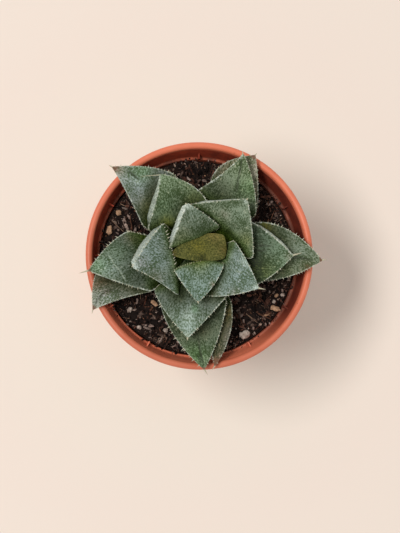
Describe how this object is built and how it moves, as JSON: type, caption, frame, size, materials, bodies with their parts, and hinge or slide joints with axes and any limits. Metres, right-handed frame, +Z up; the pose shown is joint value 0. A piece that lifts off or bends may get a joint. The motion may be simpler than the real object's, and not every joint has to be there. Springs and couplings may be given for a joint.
{
  "type": "potted haworthia",
  "caption": "Small potted haworthia: a star-shaped rosette of thick triangular-faced leaves with toothed margins, in a round tapering plastic nursery pot of potting mix.",
  "frame": {"origin": "centre of the pot's flat underside", "axes": "+Z up along the pot's axis, -Y towards the bottom edge of the picture, +X to its right"},
  "size_m": [0.0922, 0.087, 0.0912],
  "materials": {
    "pot_plastic": "smooth satin terracotta-coloured moulded plastic",
    "potting_mix": "loose dark brown peat, bark and grit, damp and dull",
    "stem": "short fleshy olive stem, dull",
    "bark": "dry tan bark, rough",
    "pumice": "pale grey-white volcanic grit, rough",
    "young_leaf": "young fleshy olive leaf, satin",
    "leaf": "fleshy grey-green leaf with a dull waxy bloom, fine pale papillae and whitish toothed margins"
  },
  "bodies": {
    "root": {"pot": "pot_plastic", "potting_mix": "potting_mix", "stem": "stem", "bark_chip_1": "bark", "bark_chip_2": "bark", "bark_chip_3": "bark", "bark_chip_4": "bark", "bark_chip_5": "bark", "pumice_chip_1": "pumice", "pumice_chip_2": "pumice", "pumice_chip_3": "pumice", "pumice_chip_4": "pumice", "pumice_chip_5": "pumice", "pumice_chip_6": "pumice", "leaf_01": "young_leaf", "leaf_02": "leaf", "leaf_03": "leaf", "leaf_04": "leaf", "leaf_05": "leaf", "leaf_06": "leaf", "leaf_07": "leaf", "leaf_08": "leaf", "leaf_09": "leaf", "leaf_10": "leaf", "leaf_11": "leaf", "leaf_12": "leaf", "leaf_13": "leaf", "leaf_14": "leaf", "leaf_15": "leaf", "leaf_16": "leaf", "leaf_17": "leaf"}
  },
  "joints": []
}
